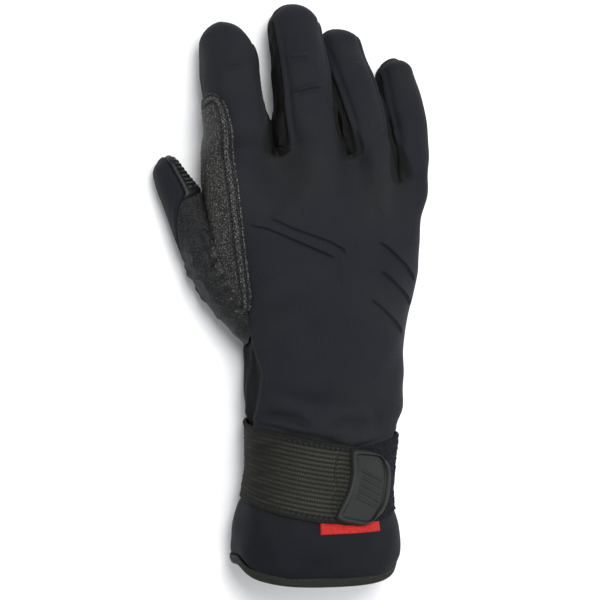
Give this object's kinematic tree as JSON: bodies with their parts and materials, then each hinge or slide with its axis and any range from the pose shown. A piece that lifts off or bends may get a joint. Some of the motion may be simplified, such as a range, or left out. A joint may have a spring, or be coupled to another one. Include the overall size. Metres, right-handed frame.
{
  "type": "water rescue glove",
  "caption": "Right-hand neoprene gauntlet glove with sewn fingers and thumb, a pebbled side guard, an elastic wrist strap with a moulded pull tab, and a taped hem.",
  "frame": {"origin": "on the ground under the heel of the hand, on the flat of the palm panel that the glove rests on", "axes": "+X to the little-finger side, +Y to the fingertips, +Z out of the back of the hand"},
  "size_m": [0.1298, 0.2718, 0.0545],
  "materials": {
    "neoprene": "matt jersey-faced foam rubber",
    "cuff_neoprene": "smooth jersey-faced foam rubber",
    "grip_leather": "pebbled synthetic leather",
    "ribbed_grip": "ribbed grip print",
    "stretch_cloth": "slightly glossy stretch cloth",
    "elastic": "ribbed woven elastic",
    "loop_fabric": "looped hook-and-loop fabric",
    "tape": "woven binding tape",
    "moulded_rubber": "satin moulded rubber",
    "label_cloth": "woven red tape"
  },
  "bodies": {
    "root": {"back_panel": "neoprene", "palm_panel": "grip_leather", "wrist_gusset": "stretch_cloth", "fourchette_index_middle": "stretch_cloth", "fourchette_middle_ring": "stretch_cloth", "fourchette_ring_little": "stretch_cloth", "thumb_back": "neoprene", "thumb_pad": "ribbed_grip", "thumb_web": "grip_leather", "index_guard": "grip_leather", "cuff": "cuff_neoprene", "hem_binding": "tape", "wrist_strap": "elastic", "strap_landing": "loop_fabric", "pull_tab": "moulded_rubber", "label": "label_cloth"}
  },
  "joints": []
}
